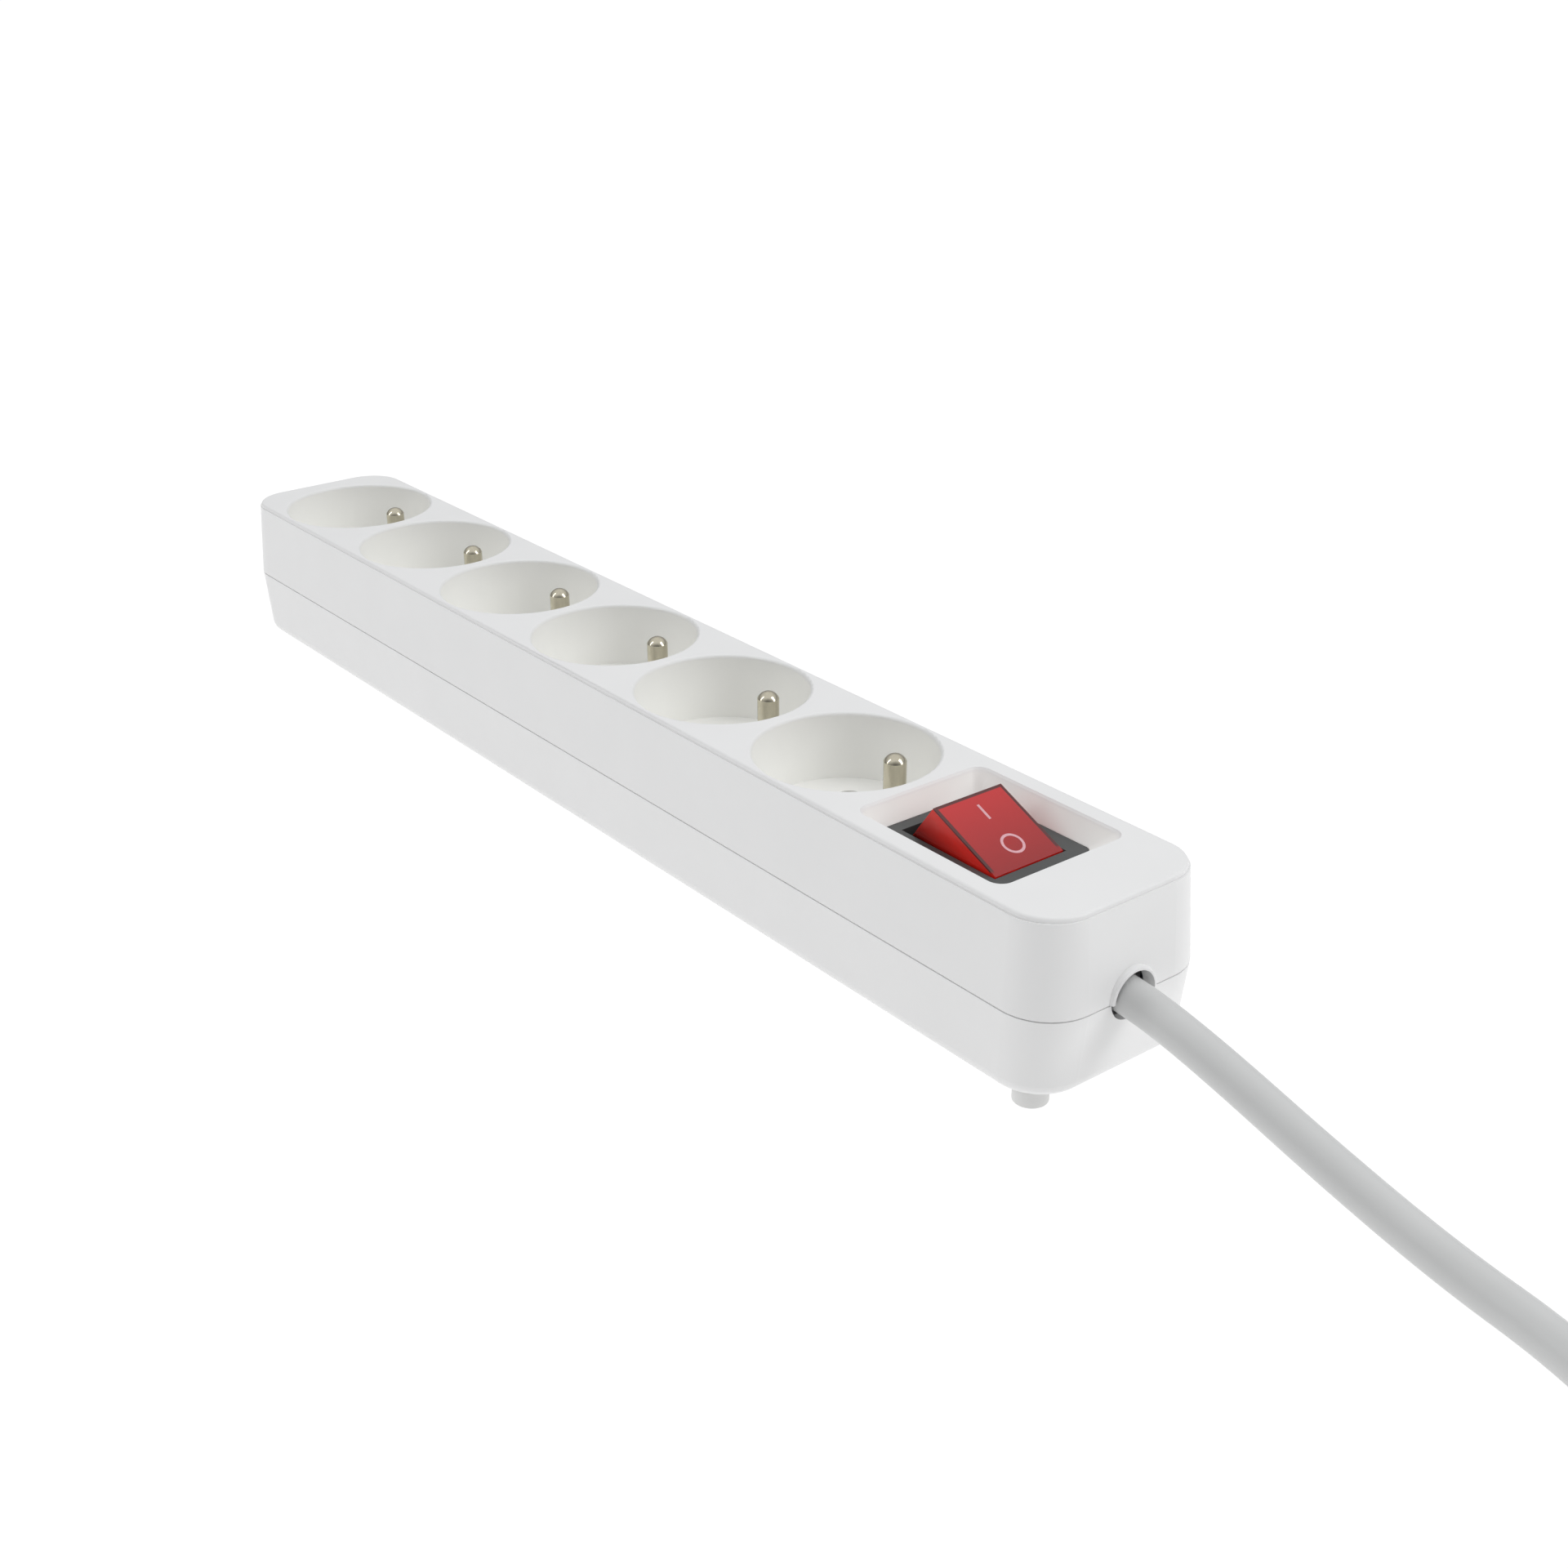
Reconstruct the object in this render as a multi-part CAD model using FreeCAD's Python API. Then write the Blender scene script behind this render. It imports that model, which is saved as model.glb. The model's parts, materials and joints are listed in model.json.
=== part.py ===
import FreeCAD, Part
import math
import os

# A six-way type E power strip with a lit double-pole rocker switch.
# Millimetres. Origin: on the floor under the middle of the housing.
# +X runs along the strip to the cable, +Z is up.

V = FreeCAD.Vector
X_AXIS, Y_AXIS, Z_AXIS = V(1, 0, 0), V(0, 1, 0), V(0, 0, 1)
os.makedirs("parts", exist_ok=True)

# ---- driving dimensions -------------------------------------------------------------------
SOCKETS = 6
PITCH = 42.0  # between socket centres
NEAR_SOCKET_X = 78.45  # the socket beside the switch
HALF_LENGTH = 158.8  # of the housing at its seam
HALF_WIDTH = 22.0
CORNER_R = 10.8
FOOT_H = 3.3
SEAM_Z = 20.8
TOP_Z = 40.5
WALL = 2.2
FIT = 0.3  # between pieces that move past each other
RUN_FIT = 0.05  # radial play of a pin in its hole

# ---- housing ------------------------------------------------------------------------------
TOP_INSET = (1.5, 1.1)  # the upper shell leans in by this much, in x and y, at the step
BASE_INSET = (2.1, 0.85)  # and the lower shell by this much at its base
STEP_Z = TOP_Z - 1.0  # a fine step runs round the top panel
STEP_INSET = 0.3
TOP_EDGE_R = 0.6
SEAM_GAP = 0.3  # the fine groove where the two shells meet
SEAM_DEPTH = 0.5
BASE_EDGE_R = 3.2
PLATE_Z = TOP_Z - WALL
FLOOR_Z = FOOT_H + WALL

# ---- case screws and feet -----------------------------------------------------------------
SCREW_X, SCREW_Y = 149.5, 15.0
MID_SCREW_Y = 13.4
POST_R = 2.8
POST_BASE_R = 4.3
POST_BASE_Z = 9.0
SCREW_R = 1.45
SCREW_HEAD_R = 2.8
SCREW_HEAD_Z = 4.9
SCREW_SEAT_Z = 6.9
RECESS_R = 3.1  # the hole that takes a screw head or a foot
RECESS_DEPTH = 1.4  # of a foot's recess that has no screw in it
FOOT_R = 3.45
INNER_FOOT_X, INNER_FOOT_Y = 139.5, 9.0  # the two feet that don't stand over a screw

# ---- sockets ------------------------------------------------------------------------------
WELL_R = 19.2
WELL_BASE_R = 18.9
WELL_RIM_R = 0.7
WELL_Z = 25.5
WELL_FLOOR = 2.0
WELL_WALL_R = WELL_R + 1.9
WELL_UNDER_Z = WELL_Z - WELL_FLOOR
CONTACT_OFFSET = 9.5  # from the socket centre to a live or neutral hole
EARTH_OFFSET = 10.0
EARTH_TURN = 45  # degrees from +X to the earth pin
HOLE_R = 3.0
PIN_R = 2.4
PIN_SHANK_R = 1.9  # where an earth pin passes through the well floor
PIN_NECK_R = 1.3  # and through its tab
PIN_SHOULDER_Z = TOP_Z - 1.9
PIN_DOME_H = 1.6
PLUG_PIN_LENGTH = 19.0

# ---- contact rails ------------------------------------------------------------------------
BRASS = 0.8
STRIP_Z0, STRIP_Z1 = 10.0, 14.0
CLIP_Z0 = 8.0
CLIP_HALF = 2.45  # half the gap between a clip's leaf and the strip
CLIP_LENGTH = 6.4
CLIP_FOOT = 3.0  # along the strip, behind each clip
RAIL_X1 = NEAR_SOCKET_X + 19.5
EARTH_Y = 17.1  # the middle of the earth strip
TAB_Z0, TAB_Z1 = 15.4, 16.4

# ---- shutters -----------------------------------------------------------------------------
CARRIER_Z0, CARRIER_Z1 = 16.8, 18.2
CARRIER_HALF_WIDTH = 19.1
SHUTTER_HALF_U = 3.4
SHUTTER_HALF_V = 13.0
SHUTTER_TRAVEL = 6.0
SPRING_STOP_U = -13.6
SPRING_Z = 20.7

# ---- switch -------------------------------------------------------------------------------
SWITCH_X = 119.1
POCKET_X = 120.5  # the middle of the pocket's rim, which runs on a little towards the cable
POCKET_HALF = (19.7, 16.0)  # just below its soft rim
POCKET_SOFT = 0.4
POCKET_BASE_HALF = (15.8, 13.3)
POCKET_CORNER_R = 2.6
BEZEL_Z = 36.1
BEZEL_T = 1.5
POCKET_Z = BEZEL_Z - BEZEL_T
CASE_HALF = (14.3, 10.6)
CASE_Z = 15.5
OPENING_HALF = (12.9, 9.2)
CAVITY_Z = 17.0
PIVOT_Z = 30.9
TILT = 23.4  # the rocker stands this far to either side of level
ROCKER_TOP = 9.85  # above the pivot
ROCKER_HALF_TOP = 9.4
ROCKER_HALF_BASE = 11.6
ROCKER_HALF_WIDTH = 8.68
ROCKER_WALL = 1.4
TRUNNION_R = 1.2
POLE_Y = 5.2  # the two poles stand this far from the middle
SEESAW_Z = PIVOT_Z - 10.7
SEESAW_WING = 20.0  # degrees that each wing rises from level
SEESAW_TILT = 7.0
SEESAW_REACH = 5.9
CONTACT_DX = 4.9  # from the pivot to the contact button
BLADE_Z = 7.0

# ---- cable, clamp and plug ----------------------------------------------------------------
CORD_D = 7.5
CORD_R = CORD_D / 2
LAYER = CORD_D + 0.2  # from one layer of the hank to the next
EXIT_R = 5.1
EXIT_BEVEL = 0.3
COLLAR_R = 5.9  # of the arched collar over the upper half of the cable's hole
COLLAR_LENGTH = 0.7
CLAMP_X = 149.0
CLAMP_SCREW_Y = 7.2
CLAMP_TOP_Z = SEAM_Z + CORD_R + 2.2
HANK_X = 356.0  # the middle of the hank
HANK_FOLD_X = 60.0  # from there to the middle of each fold
HANK_FOLD_R = 24.0
HANK_TOP_Z = 3 * LAYER + 0.3  # over the +Y lane
HANK_PEAK_Z = 4 * LAYER + 0.3  # over the -Y lane, which holds one pass more
HANK_WAIST = 8.0  # half its width at the tie
PLUG_X = 500.0  # the back of the plug's body
PLUG_Y = -8.0
PLUG_R = 19.0
PLUG_LENGTH = 34.0

# The cord's route in the open, from inside the clamp to the hank, then from the hank to the plug.
CORD_ROUTE = [
    (143.5, 0, 20.8),
    (158.5, -1.0, 21.6),
    (176.5, -0.8, 18.1),
    (205.5, -0.1, 9.2),
    (228.5, 0.1, 3.75),
    (250, -2.7, 3.75),
    (268.5, -8.6, 3.75),
]
TAIL_ROUTE = [
    (431, -22.4, 26.85),
    (449, -17.4, 25.5),
    (471, -8.6, 20.5),
    (492, -8, 19),
]

# Inner wires.
WIRE_D = 2.6
WIRE_Z = BLADE_Z + 1.6  # where the wires meet the blades
CORE_X = CORD_ROUTE[0][0]

socket_xs = [NEAR_SOCKET_X - PITCH * k for k in range(SOCKETS)]
gap_xs = [x - PITCH / 2 for x in socket_xs[:-1]]
RAIL_X0 = socket_xs[-1] - 12.0


# ---- shape helpers ------------------------------------------------------------------------
def box(x0, x1, y0, y1, z0, z1):
    return Part.makeBox(x1 - x0, y1 - y0, z1 - z0, V(x0, y0, z0))


def block(x, y, half_x, half_y, z0, z1):
    """A box about a vertical axis."""
    return box(x - half_x, x + half_x, y - half_y, y + half_y, z0, z1)


def rod(x, y, z0, z1, r):
    return Part.makeCylinder(r, z1 - z0, V(x, y, z0), Z_AXIS)


def outline(half_x, half_y, r, z, x=0.0):
    """A closed rectangle with round corners, about a vertical axis on the X axis."""
    edges = []
    for k, (sx, sy) in enumerate([(1, 1), (-1, 1), (-1, -1), (1, -1)]):
        centre = V(x + sx * (half_x - r), sy * (half_y - r), z)
        start = math.radians(90 * k)
        points = [
            centre + V(r * math.cos(start + t), r * math.sin(start + t), 0)
            for t in (0, math.pi / 4, math.pi / 2)
        ]
        if edges:
            edges.append(Part.LineSegment(edges[-1].valueAt(edges[-1].LastParameter), points[0]).toShape())
        edges.append(Part.Arc(*points).toShape())
    last, first = edges[-1], edges[0]
    edges.append(
        Part.LineSegment(last.valueAt(last.LastParameter), first.valueAt(first.FirstParameter)).toShape()
    )
    return Part.Wire(edges)


def tapered(half_0, r_0, z_0, half_1, r_1, z_1, x_0=0.0, x_1=0.0):
    """A solid between two round-cornered outlines."""
    wires = [outline(*half_0, r_0, z_0, x_0), outline(*half_1, r_1, z_1, x_1)]
    return Part.makeLoft(wires, True, True)


def revolved(profile, x=0.0, y=0.0):
    """A solid turned about the vertical axis, from (radius, z) points and three-point arcs."""
    edges, at = [], None
    for step in profile:
        points = [V(r, 0, z) for r, z in (step if isinstance(step, list) else [step])]
        if len(points) == 2:
            edges.append(Part.Arc(at, *points).toShape())
        elif at is not None:
            edges.append(Part.LineSegment(at, points[0]).toShape())
        at = points[-1]
    turned = Part.Face(Part.Wire(edges)).revolve(V(0, 0, 0), Z_AXIS, 360)
    turned.translate(V(x, y, 0))
    return turned


def extruded(points, along):
    """A straight solid from a closed outline of points."""
    return Part.Face(Part.makePolygon([V(*p) for p in points + points[:1]])).extrude(V(*along))


def fused(shapes):
    return shapes[0].multiFuse(shapes[1:]).removeSplitter()


def tube(route, d, report=None):
    """A round tube along straight runs joined by tangent arcs."""
    points = [V(*p) for p in route]
    edges, start, radii = [], points[0], []
    for before, here, after in zip(points, points[1:], points[2:]):
        back, ahead = before - here, after - here
        short = min(back.Length, ahead.Length)
        back.normalize()
        ahead.normalize()
        half_turn = (math.pi - back.getAngle(ahead)) / 2
        cut = 0.45 * short
        radius = cut / math.tan(half_turn)
        radii.append(radius)
        inward = (back + ahead).normalize()
        middle = here + inward * (radius / math.cos(half_turn) - radius)
        arc_start, arc_end = here + back * cut, here + ahead * cut
        edges.append(Part.LineSegment(start, arc_start).toShape())
        edges.append(Part.Arc(arc_start, middle, arc_end).toShape())
        start = arc_end
    edges.append(Part.LineSegment(start, points[-1]).toShape())
    path = Part.Wire(edges)
    ring = Part.Wire(Part.makeCircle(d / 2, points[0], points[1] - points[0]))
    solid = path.makePipeShell([ring], True, False)
    if report:
        ratio = solid.Volume / (math.pi * d * d / 4 * path.Length)
        print(report, "radii", [round(r, 1) for r in radii], "length", round(path.Length, 1))
        print(report, "volume over section times length", round(ratio, 4))
    return solid


def at_socket(shape, x, turn=0.0):
    """A copy of a shape made about the origin, turned and put at a socket."""
    placed = shape.copy()
    placed.rotate(V(0, 0, 0), Z_AXIS, turn)
    placed.translate(V(x, 0, 0))
    return placed


def polar(offset, degrees):
    return offset * math.cos(math.radians(degrees)), offset * math.sin(math.radians(degrees))


EARTH_XY = polar(EARTH_OFFSET, EARTH_TURN)
LIVE_XY = polar(CONTACT_OFFSET, EARTH_TURN + 90)
NEUTRAL_XY = polar(CONTACT_OFFSET, EARTH_TURN - 90)
corner_screws = [(sx * SCREW_X, sy * SCREW_Y) for sx in (-1, 1) for sy in (-1, 1)]
mid_screws = [(gap_xs[2], sy * MID_SCREW_Y) for sy in (-1, 1)]
screw_places = corner_screws + mid_screws
inner_feet = [(s * INNER_FOOT_X, s * INNER_FOOT_Y) for s in (-1, 1)]
foot_places = [(s * SCREW_X, -s * SCREW_Y) for s in (-1, 1)] + inner_feet


# ---- housing ------------------------------------------------------------------------------
def lean(z):
    """How far the sides are drawn in, in x and y, at a height."""
    if z >= SEAM_Z:
        share, inset = (z - SEAM_Z) / (STEP_Z - SEAM_Z), TOP_INSET
    else:
        share, inset = (SEAM_Z - z) / (SEAM_Z - FOOT_H), BASE_INSET
    return inset[0] * share, inset[1] * share


def body_block(inset, z_low, z_high):
    """The housing's outer form between two heights, drawn in by an inset."""
    levels = []
    for z in (z_low, z_high):
        lean_x, lean_y = lean(z)
        half = (HALF_LENGTH - inset - lean_x, HALF_WIDTH - inset - lean_y)
        levels += [half, CORNER_R - inset - lean_y, z]
    return tapered(*levels)


def rounded_below(solid, z, r):
    """Rounds the edges that lie at one height."""
    edges = [e for e in solid.Edges if abs(e.BoundBox.ZMin - z) < 0.01 and abs(e.BoundBox.ZMax - z) < 0.01]
    return solid.makeFillet(r, edges)


def well_cutter():
    """The space of one socket well, with a soft rim."""
    rim_z = TOP_Z - WELL_RIM_R
    bend = WELL_RIM_R * (1 - math.sqrt(0.5))
    return revolved(
        [
            (0, WELL_Z),
            (WELL_BASE_R, WELL_Z),
            (WELL_R, rim_z),
            [(WELL_R + bend, TOP_Z - bend), (WELL_R + WELL_RIM_R, TOP_Z)],
            (WELL_R + WELL_RIM_R, TOP_Z + 1),
            (0, TOP_Z + 1),
            (0, WELL_Z),
        ]
    )


def pocket_cutter():
    """The sloped pocket round the switch and the cut-out below it."""
    soft_z = TOP_Z - POCKET_SOFT
    rim = [tuple(h + POCKET_SOFT for h in POCKET_HALF), POCKET_CORNER_R + POCKET_SOFT]
    upper = [POCKET_HALF, POCKET_CORNER_R, soft_z]
    base = [POCKET_BASE_HALF, 1.6]
    parts = [
        tapered(*upper, *rim, TOP_Z, POCKET_X, POCKET_X),
        tapered(*base, BEZEL_Z, *upper, SWITCH_X, POCKET_X),
        tapered(*base, POCKET_Z, *base, BEZEL_Z, SWITCH_X, SWITCH_X),
        block(SWITCH_X, 0, CASE_HALF[0] + 0.2, CASE_HALF[1] + 0.2, POCKET_Z - 6, POCKET_Z),
    ]
    return parts[0].multiFuse(parts[1:])


def exit_hole():
    """The cable's hole, centred on the seam."""
    return Part.makeCylinder(EXIT_R, 12, V(HALF_LENGTH - 9, 0, SEAM_Z), X_AXIS)


def exit_bevel():
    """The small bevel round the mouth of the hole."""
    start = V(HALF_LENGTH - EXIT_BEVEL, 0, SEAM_Z)
    return Part.makeCone(EXIT_R, EXIT_R + 2 * EXIT_BEVEL, 2 * EXIT_BEVEL, start, X_AXIS)


def exit_collar():
    """The low arched collar over the hole, on the upper shell only."""
    root = 2.0
    end = root + COLLAR_LENGTH
    soft = 0.35
    slim = COLLAR_R - 0.15
    rim = slim - soft
    bend = soft * math.sqrt(0.5)
    arc = [(rim + bend, end - soft + bend), (rim, end)]
    collar = revolved([(0, 0), (COLLAR_R, 0), (COLLAR_R, root), (slim, end - soft), arc, (0, end), (0, 0)])
    collar.rotate(V(0, 0, 0), Y_AXIS, 90)
    collar.translate(V(HALF_LENGTH - root, 0, SEAM_Z))
    upper_half = box(HALF_LENGTH - 3, HALF_LENGTH + 3, -8, 8, SEAM_Z, SEAM_Z + 8)
    return collar.common(upper_half)


def seam_groove():
    """The fine groove round the top of the lower shell."""
    levels = (SEAM_Z - SEAM_GAP, SEAM_Z)
    return body_block(-1, *levels).cut(body_block(SEAM_DEPTH, *levels))


def upper_shell():
    panel = body_block(STEP_INSET, STEP_Z, TOP_Z)
    panel = rounded_below(panel, TOP_Z, TOP_EDGE_R)
    outer = fused([body_block(0, SEAM_Z, STEP_Z), panel, exit_collar()])
    cavity = body_block(WALL, SEAM_Z, PLATE_Z)
    keep = [rod(x, 0, WELL_UNDER_Z, TOP_Z, WELL_WALL_R) for x in socket_xs]
    keep += [block(POCKET_X, 0, POCKET_HALF[0] + 1, POCKET_HALF[1] + 1, POCKET_Z - 2, TOP_Z)]
    keep += [rod(x, y, SEAM_Z, TOP_Z, POST_R) for x, y in screw_places]
    cavity = cavity.cut(keep[0].multiFuse(keep[1:]))
    cuts = [cavity, pocket_cutter(), exit_hole()]
    for x in socket_xs:
        cuts.append(at_socket(well_cutter(), x))
        cuts.append(rod(x + EARTH_XY[0], EARTH_XY[1], WELL_UNDER_Z, WELL_Z + 1, PIN_SHANK_R + 0.1))
        for dx, dy in (LIVE_XY, NEUTRAL_XY):
            cuts.append(rod(x + dx, dy, WELL_UNDER_Z - 1, WELL_Z + 1, HOLE_R))
    cuts += [rod(x, y, SEAM_Z - 1, SEAM_Z + 9, SCREW_R) for x, y in screw_places]
    return outer.cut(cuts)


def lower_shell():
    outer = rounded_below(body_block(0, FOOT_H, SEAM_Z), FOOT_H, BASE_EDGE_R)
    cavity = body_block(WALL, FLOOR_Z, SEAM_Z)
    posts = [rod(x, y, FOOT_H + 0.5, SEAM_Z, POST_R) for x, y in screw_places]
    posts += [rod(x, y, FOOT_H + 0.5, POST_BASE_Z, POST_BASE_R) for x, y in screw_places]
    posts += [rod(x, 0, FLOOR_Z, CARRIER_Z0, 3.0) for x in gap_xs + [RAIL_X0 - 5, RAIL_X1 - 3.5]]
    posts += [rail_forks(), clamp_saddle()]
    shell = outer.cut(cavity).multiFuse(posts).common(outer)
    cuts = [exit_hole(), exit_bevel(), seam_groove()]
    for x, y in screw_places:
        cuts.append(rod(x, y, FOOT_H - 1, SCREW_SEAT_Z, RECESS_R))
        cuts.append(rod(x, y, FOOT_H - 1, SEAM_Z + 1, SCREW_R + 0.15))
    cuts += [rod(x, y, FOOT_H - 1, FOOT_H + RECESS_DEPTH, RECESS_R) for x, y in inner_feet]
    return shell.cut(cuts)


def rail_forks():
    """Forked supports that hold the three strips on edge."""
    forks = []
    for x in gap_xs:
        for y in (LIVE_XY[1] + CLIP_HALF + BRASS / 2, NEUTRAL_XY[1] - CLIP_HALF - BRASS / 2, EARTH_Y):
            fork = block(x, y, 2.0, 1.6, FLOOR_Z, STRIP_Z0 + 2)
            slot = block(x, y, 3.0, BRASS / 2, STRIP_Z0, STRIP_Z1)
            forks.append(fork.cut(slot))
    return Part.makeCompound(forks)


def cord_seat():
    """The space of the cable's first run, inside the clamp."""
    start, end = V(*CORD_ROUTE[0]), V(*CORD_ROUTE[1])
    return Part.makeCylinder(CORD_R, (end - start).Length, start, end - start)


def clamp_saddle():
    """The rib with a half-round seat that the cable is clamped on."""
    rib = block(CLAMP_X, 0, 3.0, 9.6, FLOOR_Z, SEAM_Z)
    pilots = [rod(CLAMP_X, sy * CLAMP_SCREW_Y, FLOOR_Z + 2, SEAM_Z, 1.2) for sy in (-1, 1)]
    return rib.cut([cord_seat()] + pilots)


def feet():
    """Four plug-in feet. Two of them cover a corner screw."""
    made = []
    for x, y in foot_places:
        made.append(
            revolved(
                [
                    (0, 0),
                    (FOOT_R - 0.5, 0),
                    [(FOOT_R - 0.12, 0.12), (FOOT_R, 0.5)],
                    (FOOT_R, FOOT_H),
                    (RECESS_R - 0.05, FOOT_H),
                    (RECESS_R - 0.05, FOOT_H + 1.2),
                    (0, FOOT_H + 1.2),
                    (0, 0),
                ],
                x,
                y,
            )
        )
    return Part.makeCompound(made)


def case_screws():
    made = []
    for x, y in screw_places:
        head = rod(x, y, SCREW_HEAD_Z, SCREW_SEAT_Z, SCREW_HEAD_R)
        shank = rod(x, y, SCREW_SEAT_Z, SEAM_Z + 8, SCREW_R)
        slots = [block(x, y, *half, SCREW_HEAD_Z, SCREW_HEAD_Z + 1) for half in [(1.6, 0.35), (0.35, 1.6)]]
        made.append(fused([head, shank]).cut(slots))
    return Part.makeCompound(made)


# ---- contacts -----------------------------------------------------------------------------
def rail(offset_xy, side):
    """A brass strip on edge, beside every live or every neutral hole."""
    strip_y = offset_xy[1] + side * (CLIP_HALF + BRASS / 2)
    return box(RAIL_X0, RAIL_X1, strip_y - BRASS / 2, strip_y + BRASS / 2, STRIP_Z0, STRIP_Z1)


def clips(offset_xy, side):
    """Six sprung leaves, each with a foot on the strip. A pin goes between the leaf and the strip."""
    made = []
    half = CLIP_LENGTH / 2
    y = offset_xy[1]
    strip_face = y + side * CLIP_HALF
    leaf_y = y - side * (CLIP_HALF + BRASS / 2)
    for x in socket_xs:
        pin_x = x + offset_xy[0]
        back_x = pin_x - half - BRASS / 2
        leaf = block(pin_x - BRASS / 2, leaf_y, half + BRASS / 2, BRASS / 2, CLIP_Z0, STRIP_Z1)
        bridge_y = (strip_face + leaf_y) / 2
        bridge = block(back_x, bridge_y, BRASS / 2, abs(strip_face - leaf_y) / 2, CLIP_Z0, STRIP_Z1)
        foot_x = back_x - CLIP_FOOT / 2
        foot_y = strip_face - side * BRASS / 2
        foot = block(foot_x, foot_y, CLIP_FOOT / 2, BRASS / 2, STRIP_Z0, STRIP_Z1)
        made.append(fused([leaf, bridge, foot]))
    return Part.makeCompound(made)


def earth_rail():
    """A strip on edge with a tab in to each earth pin."""
    shapes = [box(RAIL_X0, RAIL_X1, EARTH_Y - BRASS / 2, EARTH_Y + BRASS / 2, STRIP_Z0, TAB_Z1)]
    holes = []
    for x in socket_xs:
        pin_x, pin_y = x + EARTH_XY[0], EARTH_XY[1]
        shapes.append(box(pin_x - 3, pin_x + 3, pin_y, EARTH_Y, TAB_Z0, TAB_Z1))
        shapes.append(rod(pin_x, pin_y, TAB_Z0, TAB_Z1, 3.0))
        holes.append(rod(pin_x, pin_y, TAB_Z0 - 1, TAB_Z1 + 1, PIN_NECK_R))
    return fused(shapes).cut(holes)


def earth_pin():
    """A domed pin that stands on the well floor and is riveted through its tab below."""
    dome_r = (PIN_R**2 + PIN_DOME_H**2) / (2 * PIN_DOME_H)
    tip_z = PIN_SHOULDER_Z + PIN_DOME_H
    half = math.asin(PIN_R / dome_r) / 2
    mid = (dome_r * math.sin(half), tip_z - dome_r * (1 - math.cos(half)))
    pin = revolved(
        [
            (0, TAB_Z0 - 0.7),
            (PIN_SHANK_R, TAB_Z0 - 0.7),
            (PIN_SHANK_R, TAB_Z0),
            (PIN_NECK_R, TAB_Z0),
            (PIN_NECK_R, TAB_Z1),
            (PIN_SHANK_R, TAB_Z1),
            (PIN_SHANK_R, WELL_Z),
            (PIN_R, WELL_Z),
            (PIN_R, PIN_SHOULDER_Z),
            [mid, (0, tip_z)],
            (0, TAB_Z0 - 0.7),
        ]
    )
    pin.translate(V(*EARTH_XY, 0))
    return pin


# ---- shutters -----------------------------------------------------------------------------
def shutter():
    """A sliding bar over both holes. Its ramp turns the pins' push into a slide along -u."""
    low, high = CARRIER_Z1 + FIT, WELL_UNDER_Z - FIT
    u = SHUTTER_HALF_U
    profile = [(-u, low), (u, low), (u, low + 0.6), (-u + 0.8, high), (-u, high)]
    return extruded([(a, -SHUTTER_HALF_V, z) for a, z in profile], (0, 2 * SHUTTER_HALF_V, 0))


def shutter_spring():
    """A compression spring between the shutter and its stop."""
    wire_d, coil_r, turns = 0.4, 1.5, 6
    length = -SHUTTER_HALF_U - SPRING_STOP_U - wire_d - 0.1
    helix = Part.makeHelix(length / turns, length, coil_r)
    ring = Part.Wire(Part.makeCircle(wire_d / 2, V(coil_r, 0, 0), Y_AXIS))
    spring = helix.makePipeShell([ring], True, True)
    spring.rotate(V(0, 0, 0), Y_AXIS, 90)
    spring.translate(V(SPRING_STOP_U + wire_d / 2 + 0.05, 0, SPRING_Z))
    return spring


def contact_carrier():
    """The moulded plate that the shutters slide on."""
    middle_x, half_x = (RAIL_X0 - 8 + RAIL_X1) / 2, (RAIL_X1 - RAIL_X0 + 8) / 2
    half = (half_x, CARRIER_HALF_WIDTH)
    plate = tapered(half, CORNER_R, CARRIER_Z0, half, CORNER_R, CARRIER_Z1)
    plate.translate(V(middle_x, 0, 0))
    guide_v = SHUTTER_HALF_V + FIT + 0.6
    stop = box(SPRING_STOP_U - 1.6, SPRING_STOP_U, -3.5, 3.5, CARRIER_Z1 - 0.5, WELL_UNDER_Z - FIT)
    guide_half_u = SHUTTER_HALF_U + SHUTTER_TRAVEL / 2 + 0.2
    guide = block(SHUTTER_HALF_U - guide_half_u, 0, guide_half_u, 0.6, CARRIER_Z1 - 0.5, CARRIER_Z1 + 3.4)
    guides = [guide.translated(V(0, s * guide_v, 0)) for s in (-1, 1)]
    shapes = [plate] + [at_socket(g, x, EARTH_TURN) for x in socket_xs for g in guides + [stop]]
    holes = [rod(x, y, CARRIER_Z0 - 1, CARRIER_Z1 + 6, POST_R + 0.4) for x, y in screw_places]
    for x in socket_xs:
        holes.append(rod(x + EARTH_XY[0], EARTH_XY[1], CARRIER_Z0 - 1, CARRIER_Z1 + 1, PIN_SHANK_R + 0.1))
        for dx, dy in (LIVE_XY, NEUTRAL_XY):
            holes.append(rod(x + dx, dy, CARRIER_Z0 - 1, CARRIER_Z1 + 0.2, HOLE_R + 0.3))
    return fused(shapes).cut(holes)


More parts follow.
